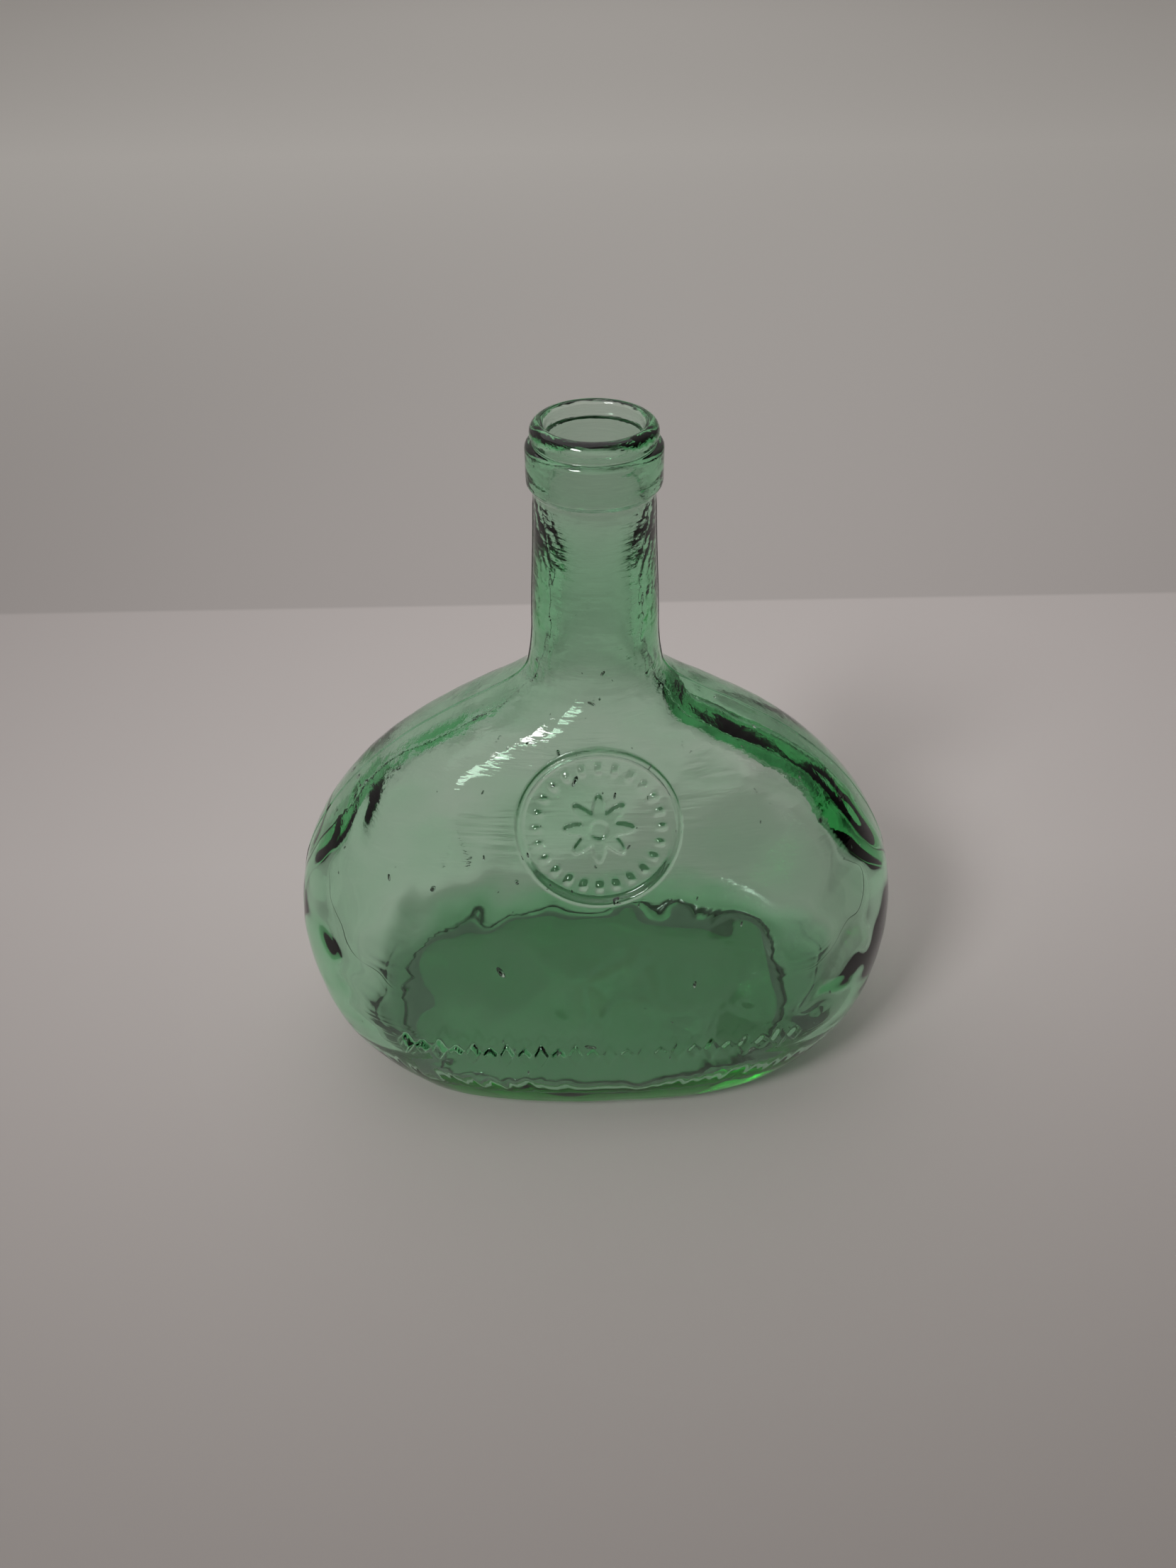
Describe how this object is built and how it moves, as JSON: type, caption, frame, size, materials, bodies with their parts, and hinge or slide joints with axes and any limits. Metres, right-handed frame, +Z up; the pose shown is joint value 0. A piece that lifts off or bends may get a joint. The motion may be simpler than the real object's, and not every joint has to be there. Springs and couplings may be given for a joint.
{
  "type": "glass flask bottle",
  "caption": "Flattened oval moulded glass flask with a thick flat base, round neck, collared cork finish and a round relief seal on the front.",
  "frame": {"origin": "middle of the underside of the base, where the flask stands", "axes": "+Z up through the neck and mouth; X across the flask's width; -Y is the front, which carries the seal"},
  "size_m": [0.1432, 0.078, 0.165],
  "materials": {
    "wall_glass": "clear pale green moulded glass, glossy, slightly wavy inside",
    "base_glass": "clear green moulded glass, thick, so darker"
  },
  "bodies": {
    "root": {"lip": "wall_glass", "collar": "wall_glass", "neck": "wall_glass", "shoulder_front": "wall_glass", "shoulder_back": "wall_glass", "wall_front": "wall_glass", "wall_back": "wall_glass", "base": "base_glass", "seal_rim": "wall_glass", "seal_rosette": "wall_glass"}
  },
  "joints": []
}
